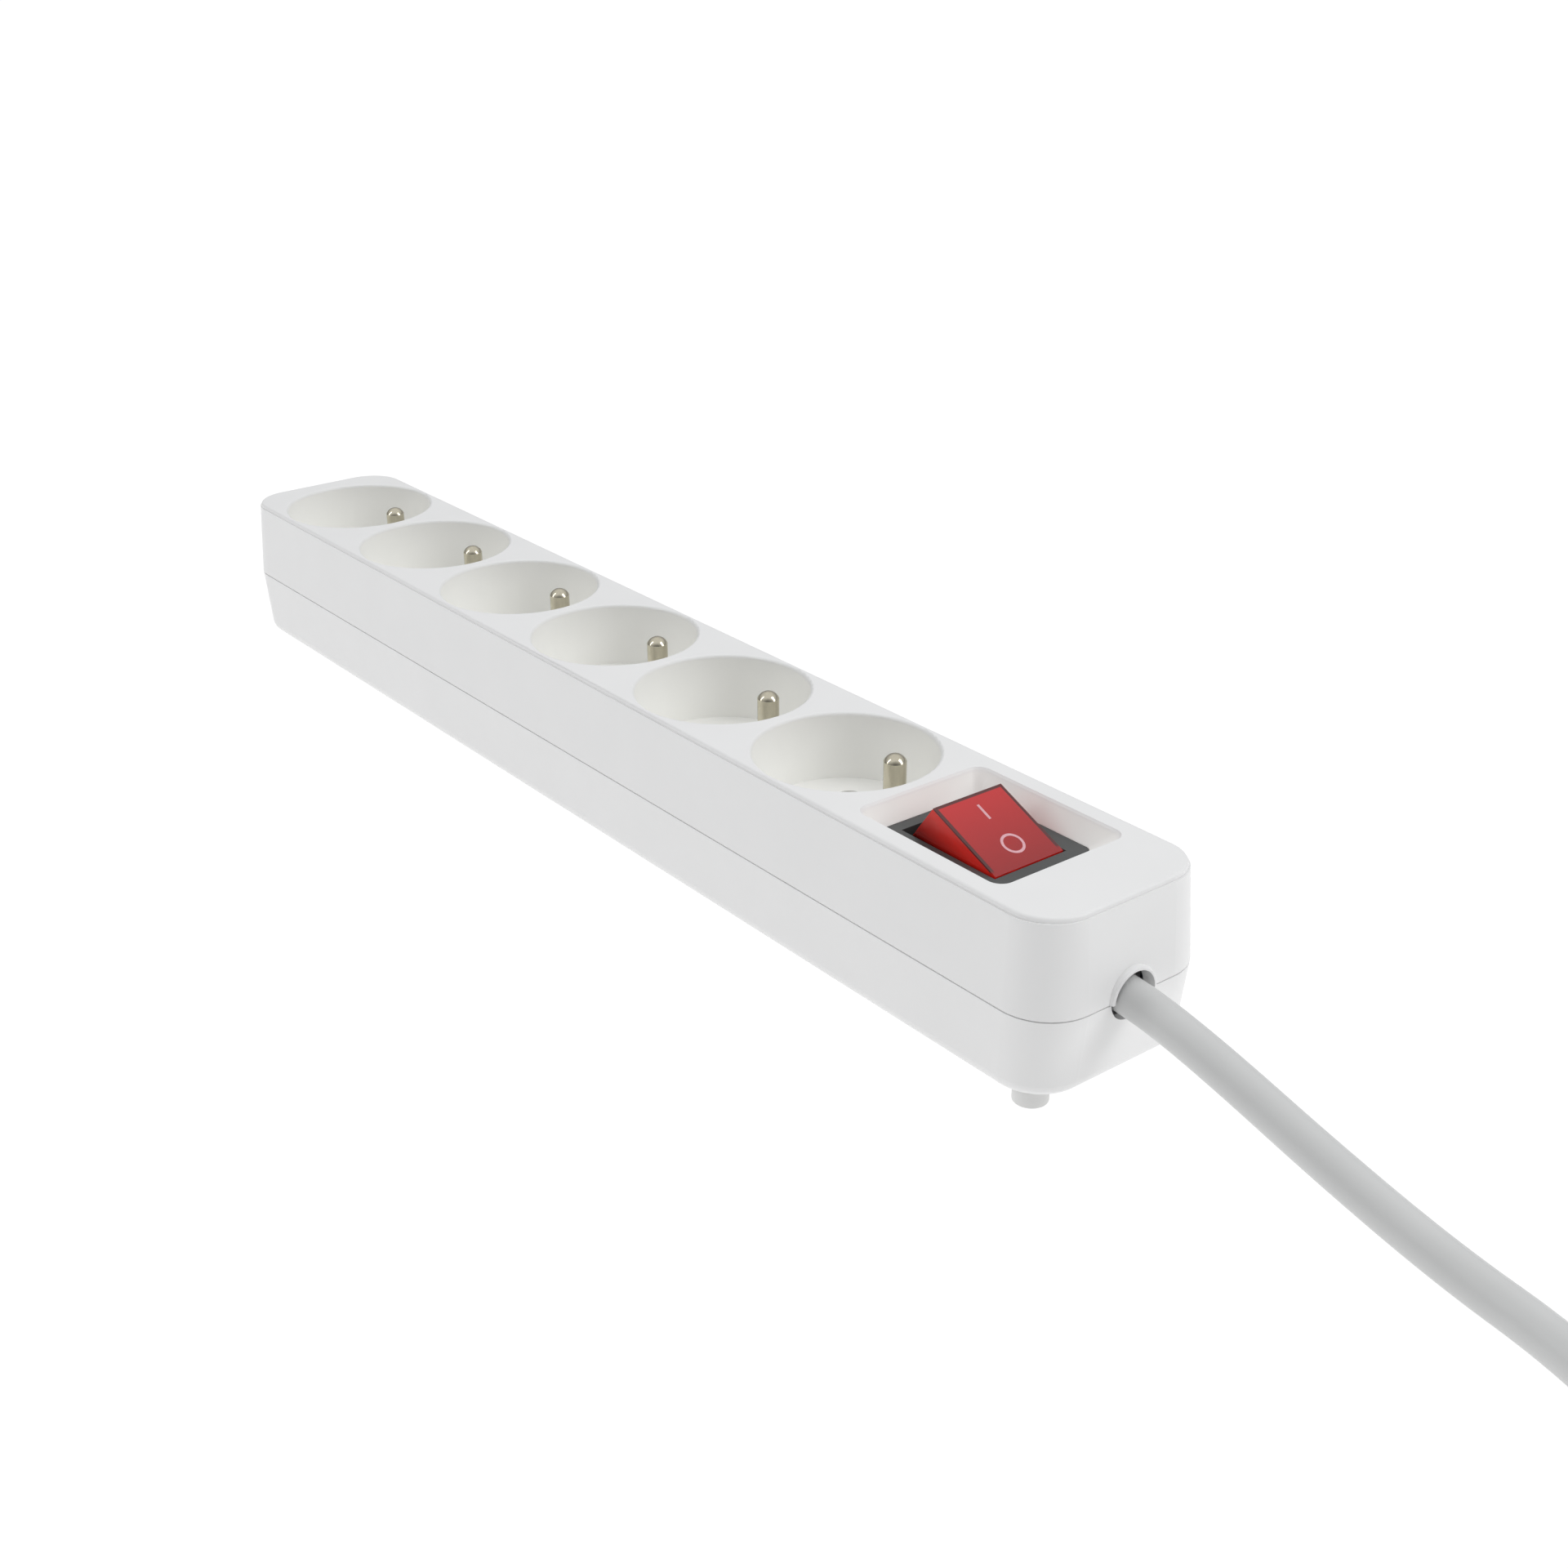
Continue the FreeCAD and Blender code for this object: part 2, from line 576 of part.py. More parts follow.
# ---- switch -------------------------------------------------------------------------------
def switch_body():
    """The black snap-in case and its bezel."""
    base = tuple(h - 0.1 for h in POCKET_BASE_HALF)
    flange = tapered(base, 1.5, POCKET_Z, base, 1.5, BEZEL_Z)
    case = block(0, 0, *CASE_HALF, CASE_Z, POCKET_Z)
    body = fused([flange, case])
    cuts = [block(0, 0, *OPENING_HALF, CAVITY_Z, BEZEL_Z + 1)]
    trunnion_y = ROCKER_HALF_WIDTH + 1.1
    cuts.append(Part.makeCylinder(TRUNNION_R + RUN_FIT, 2 * trunnion_y, V(0, -trunnion_y, PIVOT_Z), Y_AXIS))
    for dx, dy in terminal_places():
        cuts.append(block(dx, dy, 0.4, 2.0, CASE_Z - 1, CAVITY_Z + 1))
    body = body.cut(cuts)
    body.translate(V(SWITCH_X, 0, 0))
    return body


def terminal_places():
    """Where the four blades pass through the case's floor, from the switch's middle."""
    return [(dx, sy * POLE_Y) for dx in (0, CONTACT_DX) for sy in (-1, 1)]


def switch_blades(dx, top_z, round_top):
    """Two flat blades, one per pole, from a contact down through the case's floor."""
    made = []
    for sy in (-1, 1):
        blade = block(SWITCH_X + dx, sy * POLE_Y, 0.4, 2.0, BLADE_Z, top_z)
        if round_top:
            saddle = Part.makeCylinder(0.9, 4, V(SWITCH_X + dx, sy * POLE_Y - 2, top_z), Y_AXIS)
        else:
            saddle = block(SWITCH_X + dx, sy * POLE_Y, 1.3, 2.0, top_z - 0.8, top_z)
        made.append(fused([blade, saddle]))
    return Part.makeCompound(made)


def tilted(shape, degrees):
    """A switch part turned from level about the rocker's pivot axis, then put in place."""
    turned = shape.copy()
    turned.rotate(V(0, 0, 0), Y_AXIS, degrees)
    turned.translate(V(SWITCH_X, 0, PIVOT_Z))
    return turned


def rocker():
    """The translucent rocker: flat top, flared ends, hollow below. Off: its +X end is down."""
    top, base_z, skirt_z = ROCKER_TOP, -0.5, -3.4
    half_top, half_base, half_skirt = ROCKER_HALF_TOP, ROCKER_HALF_BASE, 10.4
    profile = [(-half_skirt, skirt_z), (-half_base, base_z), (-half_top, top)]
    profile += [(-x, z) for x, z in reversed(profile)]
    w = ROCKER_HALF_WIDTH
    solid = extruded([(x, -w, z) for x, z in profile], (0, 2 * w, 0))
    t = ROCKER_WALL
    inner = [(-half_skirt + t, skirt_z - 1), (-half_base + t, base_z), (-half_top + t, top - t)]
    inner += [(-x, z) for x, z in reversed(inner)]
    solid = solid.cut(extruded([(x, t - w, z) for x, z in inner], (0, 2 * (w - t), 0)))
    extras = [Part.makeCylinder(TRUNNION_R, 2 * (w + 1), V(0, -w - 1, 0), Y_AXIS)]
    extras += [Part.makeCylinder(2.2, top + 3.6, V(0, sy * POLE_Y, -4.0), Z_AXIS) for sy in (-1, 1)]
    solid = solid.multiFuse(extras)
    bores = [Part.makeCylinder(1.5, top + 2.5, V(0, sy * POLE_Y, -4.5), Z_AXIS) for sy in (-1, 1)]
    lamp_room = Part.makeBox(9, 5.4, top + 3, V(-4.5, -2.7, -5.0))
    return tilted(solid.cut(bores + [lamp_room]), TILT)


def plungers():
    """The round-nosed pins that push the see-saw contacts."""
    made = []
    for sy in (-1, 1):
        pin = Part.makeCylinder(1.3, 7.2, V(0, sy * POLE_Y, -8.7), Z_AXIS)
        nose = Part.makeSphere(1.3, V(0, sy * POLE_Y, -8.7))
        made.append(tilted(fused([pin, nose]), TILT))
    return Part.makeCompound(made)


def plunger_springs():
    """Short springs above the plungers, inside the rocker's two tubes."""
    made = []
    for sy in (-1, 1):
        helix = Part.makeHelix(0.8, 4.8, 1.15)
        ring = Part.Wire(Part.makeCircle(0.18, V(1.15, 0, 0), Y_AXIS))
        spring = helix.makePipeShell([ring], True, True)
        spring.translate(V(0, sy * POLE_Y, -1.25))
        made.append(tilted(spring, TILT))
    return Part.makeCompound(made)


def seesaw(sy):
    """A V of silvered copper that rocks on its blade. Off: its -X wing is down."""
    t, reach = 0.8, SEESAW_REACH
    rise = reach * math.tan(math.radians(SEESAW_WING))
    profile = [(-reach, rise), (0, 0), (reach, rise), (reach, rise - t), (0, -t), (-reach, rise - t)]
    strip = extruded([(x, sy * POLE_Y - 1.9, z) for x, z in profile], (0, 3.8, 0))
    button = Part.makeCylinder(1.1, 1.0, V(CONTACT_DX - 0.3, sy * POLE_Y, 0.3), Z_AXIS)
    strip = fused([strip, button])
    strip.rotate(V(0, 0, 0), Y_AXIS, -SEESAW_TILT)
    strip.translate(V(SWITCH_X, 0, SEESAW_Z))
    return strip


def neon_lamp():
    bulb = rod(SWITCH_X, 0, CAVITY_Z + 5, CAVITY_Z + 12.5, 1.9)
    tip = Part.makeSphere(1.9, V(SWITCH_X, 0, CAVITY_Z + 12.5))
    stem = block(SWITCH_X, 0, 1.2, 0.9, CAVITY_Z, CAVITY_Z + 5)
    return fused([bulb, tip, stem])


def lamp_resistor():
    body = Part.makeCylinder(1.1, 5.5, V(SWITCH_X + 3, 0, CAVITY_Z + 1.2), X_AXIS)
    leads = Part.makeCylinder(0.3, 8.6, V(SWITCH_X + 1.2, 0, CAVITY_Z + 1.2), X_AXIS)
    return fused([body, leads])


# ---- inner wires --------------------------------------------------------------------------
def core_wire(sy):
    """A core from the sheath's end, down and under the switch to a contact blade."""
    return tube(
        [
            (CORE_X, sy * 1.7, SEAM_Z - 1.0),
            (CORE_X - 4.5, sy * 3.6, SEAM_Z - 2.6),
            (CORE_X - 5.5, sy * POLE_Y, 12.5),
            (CORE_X - 10, sy * POLE_Y, WIRE_Z + 0.3),
            (SWITCH_X + CONTACT_DX + 0.4, sy * POLE_Y, WIRE_Z),
        ],
        WIRE_D,
    )


def feed_wire(sy):
    """A short wire from a fulcrum blade to the near end of its rail."""
    rail_face = LIVE_XY[1] + CLIP_HALF
    beside = rail_face - WIRE_D / 2
    return tube(
        [
            (SWITCH_X - 0.4, sy * POLE_Y, WIRE_Z),
            (SWITCH_X - 9.5, sy * (POLE_Y + 0.3), WIRE_Z),
            (SWITCH_X - 18.5, sy * (beside - 0.3), STRIP_Z0 + 1.4),
            (RAIL_X1 - 5, sy * beside, STRIP_Z0 + 2),
        ],
        WIRE_D,
    )


def earth_wire():
    """The green and yellow core, round the switch to the earth strip."""
    beside = EARTH_Y - BRASS / 2 - WIRE_D / 2
    return tube(
        [
            (CORE_X, 0, SEAM_Z + 1.8),
            (CORE_X - 3.3, 7.0, SEAM_Z + 1.0),
            (CORE_X - 7.5, 13.6, 19.0),
            (SWITCH_X + 3.5, 14.4, 16.0),
            (SWITCH_X - 12.5, beside, 13.5),
            (RAIL_X1 - 5, beside, STRIP_Z0 + 2.5),
        ],
        WIRE_D,
    )


# ---- cable clamp --------------------------------------------------------------------------
def cord_clamp():
    """The bar that holds the cable down on its seat."""
    bar = block(CLAMP_X, 0, 2.8, 9.4, SEAM_Z + 0.3, CLAMP_TOP_Z)
    holes = [rod(CLAMP_X, sy * CLAMP_SCREW_Y, SEAM_Z - 1, CLAMP_TOP_Z + 1, 1.3) for sy in (-1, 1)]
    return bar.cut([cord_seat()] + holes)


def clamp_screws():
    made = []
    top = CLAMP_TOP_Z
    for sy in (-1, 1):
        y = sy * CLAMP_SCREW_Y
        shank = rod(CLAMP_X, y, FLOOR_Z + 3, top, 1.2)
        head = rod(CLAMP_X, y, top, top + 1.6, 2.1)
        slot = block(CLAMP_X, y, 0.3, 2.5, top + 0.9, top + 2)
        made.append(fused([shank, head]).cut(slot))
    return Part.makeCompound(made)


# ---- free cord and plug -------------------------------------------------------------------
def cord_hank():
    """The outer form of the folded cord: a round fold at each end, pinched at the tie."""
    outer_r = HANK_FOLD_R + CORD_R
    ends = [rod(HANK_X + s * HANK_FOLD_X, 0, 0, HANK_PEAK_Z, outer_r) for s in (-1, 1)]
    pinch = 14.0
    shoulder = outer_r - 4
    waist = [(-pinch, HANK_WAIST), (pinch, HANK_WAIST)]
    side = [(-HANK_FOLD_X, shoulder)] + waist + [(HANK_FOLD_X, shoulder)]
    ring = side + [(x, -y) for x, y in reversed(side)]
    bar = extruded([(HANK_X + x, y, 0) for x, y in ring], (0, 0, HANK_PEAK_Z))
    reach = HANK_FOLD_X + outer_r + 1
    spare = box(HANK_X - reach, HANK_X + reach, 0.3, outer_r + 1, HANK_TOP_Z, HANK_PEAK_Z + 1)
    return fused(ends + [bar]).cut(spare)


def cord_tie():
    """A flat strap over the hank's waist, down to the floor on both sides."""
    gap, thick, half_length = 0.05, 1.35, 6.0

    def arch(out):
        w = HANK_WAIST + gap + out
        low, high = HANK_TOP_Z + gap + out, HANK_PEAK_Z + gap + out
        return [(-w, 0), (w, 0), (w, low), (0.3 + gap + out, low), (0.3 + gap + out, high), (-w, high)]

    outer = extruded([(HANK_X - half_length, y, z) for y, z in arch(thick)], (2 * half_length, 0, 0))
    inner = extruded([(HANK_X - half_length - 1, y, z) for y, z in arch(0)], (2 * half_length + 2, 0, 0))
    return outer.cut(inner)


def along_x(shape):
    """Turns a part made about +Z to lie along +X on the plug's axis."""
    turned = shape.copy()
    turned.rotate(V(0, 0, 0), Y_AXIS, 90)
    turned.translate(V(PLUG_X, PLUG_Y, PLUG_R))
    return turned


def plug_body():
    """The round moulded plug, with the well for the socket's earth pin."""
    grip = [(0, 0), (11, 0), (15.5, 5), (PLUG_R - 1.5, 16), (PLUG_R, 22), (PLUG_R, PLUG_LENGTH - 1)]
    body = revolved(grip + [(PLUG_R - 1, PLUG_LENGTH), (0, PLUG_LENGTH), (0, 0)])
    cuts = [rod(0, EARTH_OFFSET, PLUG_LENGTH - 16, PLUG_LENGTH + 1, PIN_R + 0.9)]
    flats = [block(0, s * (PLUG_R + 0.2), 5.5, 2.0, 20, PLUG_LENGTH + 1) for s in (-1, 1)]
    return along_x(body.cut(cuts + flats))


def plug_pins():
    made = []
    for s in (-1, 1):
        pin = rod(s * CONTACT_OFFSET, 0, PLUG_LENGTH, PLUG_LENGTH + PLUG_PIN_LENGTH - PIN_R, PIN_R)
        tip = Part.makeSphere(PIN_R, V(s * CONTACT_OFFSET, 0, PLUG_LENGTH + PLUG_PIN_LENGTH - PIN_R))
        made.append(along_x(fused([pin, tip])))
    return Part.makeCompound(made)


def plug_earth_socket():
    """The sprung metal tube inside the plug's earth well."""
    outer = rod(0, EARTH_OFFSET, PLUG_LENGTH - 16, PLUG_LENGTH - 2, PIN_R + 0.9)
    return along_x(outer.cut(rod(0, EARTH_OFFSET, PLUG_LENGTH - 15, PLUG_LENGTH, PIN_R + 0.1)))


def plug_relief():
    """The tapered sleeve that eases the cord into the plug."""
    return along_x(
        revolved([(0, -24), (CORD_R + 1, -24), (8.5, 0), (0, 0), (0, -24)]).cut(
            rod(0, 0, -25, -8, CORD_R + 0.05)
        )
    )


# ---- every node ---------------------------------------------------------------------------
nodes = {
    "upper_shell": upper_shell(),
    "lower_shell": lower_shell(),
    "feet": feet(),
    "case_screws": case_screws(),
    "live_rail": rail(LIVE_XY, 1),
    "neutral_rail": rail(NEUTRAL_XY, -1),
    "live_clips": clips(LIVE_XY, 1),
    "neutral_clips": clips(NEUTRAL_XY, -1),
    "earth_rail": earth_rail(),
    "contact_carrier": contact_carrier(),
    "switch_body": switch_body(),
    "rocker": rocker(),
    "plungers": plungers(),
    "plunger_springs": plunger_springs(),
    "seesaw_live": seesaw(1),
    "seesaw_neutral": seesaw(-1),
    "fulcrum_blades": switch_blades(0, SEESAW_Z - 2.0, True),
    "contact_blades": switch_blades(CONTACT_DX, SEESAW_Z - 0.8, False),
    "neon_lamp": neon_lamp(),
    "lamp_resistor": lamp_resistor(),
    "live_core": core_wire(1),
    "neutral_core": core_wire(-1),
    "live_feed": feed_wire(1),
    "neutral_feed": feed_wire(-1),
    "earth_core": earth_wire(),
    "cord_clamp": cord_clamp(),
    "clamp_screws": clamp_screws(),
    "power_cord": tube(CORD_ROUTE, CORD_D, "power_cord"),
    "cord_hank": cord_hank(),
    "cord_tie": cord_tie(),
    "cord_tail": tube(TAIL_ROUTE, CORD_D, "cord_tail"),
    "plug_relief": plug_relief(),
    "plug_body": plug_body(),
    "plug_pins": plug_pins(),
    "plug_earth_socket": plug_earth_socket(),
}
for number, x in enumerate(reversed(socket_xs), 1):
    nodes[f"earth_pin_{number}"] = at_socket(earth_pin(), x)
    nodes[f"shutter_{number}"] = at_socket(shutter(), x, EARTH_TURN)
    nodes[f"shutter_spring_{number}"] = at_socket(shutter_spring(), x, EARTH_TURN)

for name, shape in nodes.items():
    if not shape.isValid() or shape.Volume <= 0:
        print("check", name, shape.isValid(), shape.Volume)
    shape.exportStep(f"parts/{name}.step")
print(len(nodes), "nodes")
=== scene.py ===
import json
import math

import bpy
from mathutils import Matrix, Vector


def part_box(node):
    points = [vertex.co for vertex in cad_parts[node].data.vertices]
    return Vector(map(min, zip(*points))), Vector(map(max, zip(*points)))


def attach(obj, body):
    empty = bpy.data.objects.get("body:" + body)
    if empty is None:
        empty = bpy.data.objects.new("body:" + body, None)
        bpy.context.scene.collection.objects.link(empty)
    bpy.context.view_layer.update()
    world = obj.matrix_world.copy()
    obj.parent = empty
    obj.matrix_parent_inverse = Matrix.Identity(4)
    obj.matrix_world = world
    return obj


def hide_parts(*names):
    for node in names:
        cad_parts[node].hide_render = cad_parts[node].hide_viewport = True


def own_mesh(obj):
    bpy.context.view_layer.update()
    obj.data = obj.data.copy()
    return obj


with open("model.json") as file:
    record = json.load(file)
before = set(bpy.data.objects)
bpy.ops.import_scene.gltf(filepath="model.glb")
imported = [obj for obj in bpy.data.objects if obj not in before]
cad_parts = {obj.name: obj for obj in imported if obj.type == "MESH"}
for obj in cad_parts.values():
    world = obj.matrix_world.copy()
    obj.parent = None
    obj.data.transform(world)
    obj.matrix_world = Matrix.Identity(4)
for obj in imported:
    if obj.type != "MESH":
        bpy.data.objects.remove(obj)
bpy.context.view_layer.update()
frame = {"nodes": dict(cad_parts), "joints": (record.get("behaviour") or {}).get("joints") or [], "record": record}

# A white six-way power strip with a red rocker switch. Metres, in the frame of the CAD model:
# +X runs along the strip to the cable, +Z is up, and the floor is z = 0.

MM = 0.001
scene = bpy.context.scene

# ---- driving measures ---------------------------------------------------------------------
SHELL_LOW, SHELL_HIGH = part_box("upper_shell")
ROCKER_JOINT = next(j for j in frame["joints"] if j["name"] == "rocker_tilt")
PIVOT = Vector(ROCKER_JOINT["pos_m"])
ROCKER_TILT = math.radians(ROCKER_JOINT["range_deg"][1] / 2)  # off: the cable's end is down
ROCKER_TOP = 9.85 * MM  # from the pivot to the rocker's flat top
ROCKER_HALF_LENGTH = 9.4 * MM
ROCKER_HALF_WIDTH = (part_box("rocker")[1].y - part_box("rocker")[0].y) / 2 - 1.0 * MM
CORD_D = 7.5 * MM
CORD_R = CORD_D / 2
CAMERA_AZIMUTH, CAMERA_ELEVATION, CAMERA_ROLL = (math.radians(d) for d in (51.94, 25.28, -0.27))
CAMERA_PLACE = (0.36764, -0.24246, 0.21108)
LENS = 46.87


def facing(azimuth, elevation):
    """The unit vector from the object at an azimuth from -Y and a height above the horizon."""
    flat = math.cos(elevation)
    return Vector((math.sin(azimuth) * flat, -math.cos(azimuth) * flat, math.sin(elevation)))


# ---- camera -------------------------------------------------------------------------------
def make_camera():
    """The photograph's camera: where it stands, where it looks and its lens."""
    back = facing(CAMERA_AZIMUTH, CAMERA_ELEVATION)
    right = Vector((math.cos(CAMERA_AZIMUTH), math.sin(CAMERA_AZIMUTH), 0))
    right = Matrix.Rotation(CAMERA_ROLL, 3, back) @ right
    data = bpy.data.cameras.new("camera")
    data.lens = LENS
    data.sensor_width = 36
    data.clip_start = 0.01
    camera = bpy.data.objects.new("camera", data)
    scene.collection.objects.link(camera)
    axes = Matrix((right, back.cross(right), back)).transposed()
    camera.matrix_world = Matrix.Translation(CAMERA_PLACE) @ axes.to_4x4()
    scene.camera = camera


make_camera()

# ---- the free cord ------------------------------------------------------------------------
# The same route as the CAD tubes, from the clamp to the hank and from the hank to the plug.
CORD_ROUTE = [
    (0.1435, 0, 0.0208),
    (0.1585, -0.0010, 0.0216),
    (0.1765, -0.0008, 0.0181),
    (0.2055, -0.0001, 0.0092),
    (0.2285, 0.0001, 0.00375),
    (0.2500, -0.0027, 0.00375),
    (0.2685, -0.0086, 0.00375),
]
TAIL_ROUTE = [
    (0.431, -0.0224, 0.02685),
    (0.449, -0.0174, 0.0255),
    (0.471, -0.0086, 0.0205),
    (0.492, -0.0080, 0.0190),
]
# From the end of CORD_ROUTE into the first run of the hank, which the CAD has as one solid.
LEAD_IN = [
    (0.284, -0.0155, CORD_R),
    (0.301, -0.0178, CORD_R),
    (0.316, -0.0145, CORD_R),
]
HANK_X = 0.356  # the middle of the hank
FOLD_X = 0.060  # from there to the middle of each fold
FOLD_R = 0.024
FOLD_POINTS = 8
FOLD_START = math.radians(-105)
FOLD_SPACING = math.radians(30)  # between two points of a fold
CLIMB_POINTS = 5  # a rising fold is a whole layer up after this many
SHOULDER_X, SHOULDER_Y = 0.7 * FOLD_X, 0.73 * FOLD_R  # where a run bends in to the waist
WAIST_X = 0.018  # half the length of the part under the strap
LANE_Y = 0.0041  # from the hank's middle line to a run at the waist
LAYER_Z = 0.0077
PASSES = 7  # runs of the hank from end to end
STRAP_T = 1.0 * MM
STRAP_HALF = 6.0 * MM  # half its width
STRAP_FLAT = 0.93  # share of its width before the edge thins
STRAP_EDGE = 0.35  # share of its thickness left at the edge
STRAP_RIDGE_Y = 0.4 * MM  # where its top starts down to the lower stack of runs
STRAP_CORNER_R = 2.6 * MM
FLAP_SHARE = 0.92  # the flap's width, as a share of the strap's
FLAP_LOW_Z = 8 * MM


def fold_route(side, z):
    """One fold. It turns through 210 degrees, so that each run meets it along its tangent."""
    bend_r = FOLD_R / math.cos(FOLD_SPACING / 2)
    points = []
    for step in range(FOLD_POINTS):
        angle = FOLD_START + FOLD_SPACING * step
        rise = LAYER_Z * min(1, step / CLIMB_POINTS) if side > 0 else 0
        x = HANK_X - side * (FOLD_X + bend_r * math.cos(angle))
        points.append((x, -side * bend_r * math.sin(angle), z + rise))
    return points


def hank_route():
    """The folded stretch: runs to and fro, drawn together at the waist, one turn on another."""
    run = [
        (-SHOULDER_X, SHOULDER_Y, 0),
        (-WAIST_X, LANE_Y, STRAP_T),
        (WAIST_X, LANE_Y, STRAP_T),
        (SHOULDER_X, SHOULDER_Y, 0),
    ]
    turns = []
    for number in range(PASSES):
        side = -1 if number % 2 == 0 else 1  # the -Y runs go towards the plug
        z = CORD_R + LAYER_Z * (number // 2)
        for x, y, lift in run:
            turns.append((HANK_X - side * x, side * y, z + lift))
        if number < PASSES - 1:
            turns += fold_route(side, z)
    lead_out = (HANK_X + 0.93 * FOLD_X, -0.81 * FOLD_R, z)
    return LEAD_IN + turns[1:-1] + [lead_out]


def mesh_piece(name, verts, faces, body, smooth=False):
    """A new mesh object that rides with a body."""
    mesh = bpy.data.meshes.new(name)
    mesh.from_pydata(verts, [], faces)
    piece = bpy.data.objects.new(name, mesh)
    scene.collection.objects.link(piece)
    for polygon in mesh.polygons:
        polygon.use_smooth = smooth
    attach(piece, body)
    return piece


def strap_outline():
    """The middle line of the strap round the bundle, from -Y to +Y and back under it."""
    half = LANE_Y + CORD_R + STRAP_T / 2
    floor_z = STRAP_T / 2
    top = STRAP_T * 1.5 + CORD_D
    layers = PASSES // 2
    low, high = top + (layers - 1) * LAYER_Z, top + layers * LAYER_Z
    corners = [(-half, floor_z), (-half, high), (STRAP_RIDGE_Y, high), (half, low), (half, floor_z)]
    return rounded_loop(corners, STRAP_CORNER_R)


def rounded_loop(corners, radius, steps=8):
    """A closed outline with its corners rounded."""
    points = []
    for k, corner in enumerate(corners):
        here = Vector(corner)
        back = (Vector(corners[k - 1]) - here).normalized()
        ahead = (Vector(corners[(k + 1) % len(corners)]) - here).normalized()
        half_turn = (math.pi - back.angle(ahead)) / 2
        reach = radius * math.tan(half_turn)
        centre = here + (back + ahead).normalized() * (radius / math.cos(half_turn))
        first, last = here + back * reach - centre, here + ahead * reach - centre
        for step in range(steps + 1):
            spoke = first.lerp(last, step / steps).normalized() * radius
            points.append(tuple(centre + spoke))
    return points


def band(name, outline, closed, half_width, shift=0.0):
    """A ribbon swept along an outline in the YZ plane, with soft edges."""
    flat = half_width * STRAP_FLAT
    columns = [(-half_width, STRAP_EDGE), (-flat, 1), (flat, 1), (half_width, STRAP_EDGE)]
    ring = columns + [(x, -share) for x, share in reversed(columns)]
    count, around = len(outline), len(ring)
    verts, faces = [], []
    for k, point in enumerate(outline):
        before = outline[k - 1] if closed or k else outline[0]
        after = outline[(k + 1) % count] if closed or k < count - 1 else outline[-1]
        along = (Vector(after) - Vector(before)).normalized()
        out = Vector((-along.y, along.x))
        for x, share in ring:
            y, z = Vector(point) + out * (share * STRAP_T / 2 + shift)
            verts.append((HANK_X + x, y, z))
    for k in range(count if closed else count - 1):
        here, there = k * around, ((k + 1) % count) * around
        for j in range(around):
            beside = (j + 1) % around
            faces.append((here + j, here + beside, there + beside, there + j))
    if not closed:
        faces.append(tuple(range(around - 1, -1, -1)))
        faces.append(tuple((count - 1) * around + j for j in range(around)))
    return mesh_piece(name, verts, faces, "housing", smooth=True)


def make_strap():
    """The hook-and-loop strap: a loop round the waist with its free end folded over."""
    loop = strap_outline()
    strap = band("tie_strap", loop, True, STRAP_HALF)
    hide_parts("cord_tie")
    side_points = [p for p in loop if p[0] < -LANE_Y and p[1] > FLAP_LOW_Z]
    flap = band("tie_flap", side_points, False, STRAP_HALF * FLAP_SHARE, shift=STRAP_T)
    return [strap, flap]


def make_cord():
    """The whole lead as one line: seen stretch, hank and tail."""
    curve = bpy.data.curves.new("mains_cord", "CURVE")
    curve.dimensions = "3D"
    curve.bevel_depth = 1.0
    curve.bevel_resolution = 10
    curve.resolution_u = 10
    curve.use_fill_caps = True
    route = CORD_ROUTE + hank_route() + TAIL_ROUTE
    spline = curve.splines.new("NURBS")
    spline.points.add(len(route) - 1)
    for point, place in zip(spline.points, route):
        point.co = (*place, 1)
        point.radius = CORD_R
    spline.order_u = 3
    spline.use_endpoint_u = True
    cord = bpy.data.objects.new("mains_cord", curve)
    scene.collection.objects.link(cord)
    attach(cord, "housing")
    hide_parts("power_cord", "cord_hank", "cord_tail")
    return cord


strap = make_strap()
cord = make_cord()

# ---- the shutters' springs ----------------------------------------------------------------
SPRING_WIRE = 0.4 * MM
SPRING_TURNS = 6
SPRING_LENGTH = 9.4 * MM  # between the middles of the first and last turn


def make_shutter_spring(number, steps=16, sides=6):
    """A coil between a shutter and its stop."""
    low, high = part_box(f"shutter_spring_{number}")
    joint = f"shutter_slide_{number}"
    slide = Vector(next(j["axis"] for j in frame["joints"] if j["name"] == joint)).normalized()
    up = Vector((0, 0, 1))
    across = slide.cross(up)
    radius = (high.z - low.z - SPRING_WIRE) / 2
    stop_end = (low + high) / 2 + slide * (SPRING_LENGTH / 2)
    count = steps * SPRING_TURNS
    verts = []
    for k in range(count + 1):
        turn = math.tau * k / steps
        spoke = across * math.cos(turn) + up * math.sin(turn)
        centre = stop_end - slide * (SPRING_LENGTH * k / count) + spoke * radius
        for j in range(sides):
            angle = math.tau * j / sides
            side = spoke * math.cos(angle) + slide * math.sin(angle)
            verts.append(centre + side * (SPRING_WIRE / 2))
    faces = [tuple(range(sides)), tuple(count * sides + j for j in reversed(range(sides)))]
    for k in range(count):
        for j in range(sides):
            a, b = k * sides + j, k * sides + (j + 1) % sides
            faces.append((b, a, a + sides, b + sides))
    spring = mesh_piece(f"spring_coil_{number}", verts, faces, "housing", smooth=True)
    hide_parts(f"shutter_spring_{number}")
    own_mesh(spring)
    return spring


springs = [make_shutter_spring(number) for number in range(1, 7)]


# ---- material helpers ---------------------------------------------------------------------
BLOTCHES = 60  # cells to the metre, as are the next two
GLOSS_PATCHES = 180
FINE_GRAIN = 2500
GRAIN_DEPTH = 0.01 * MM


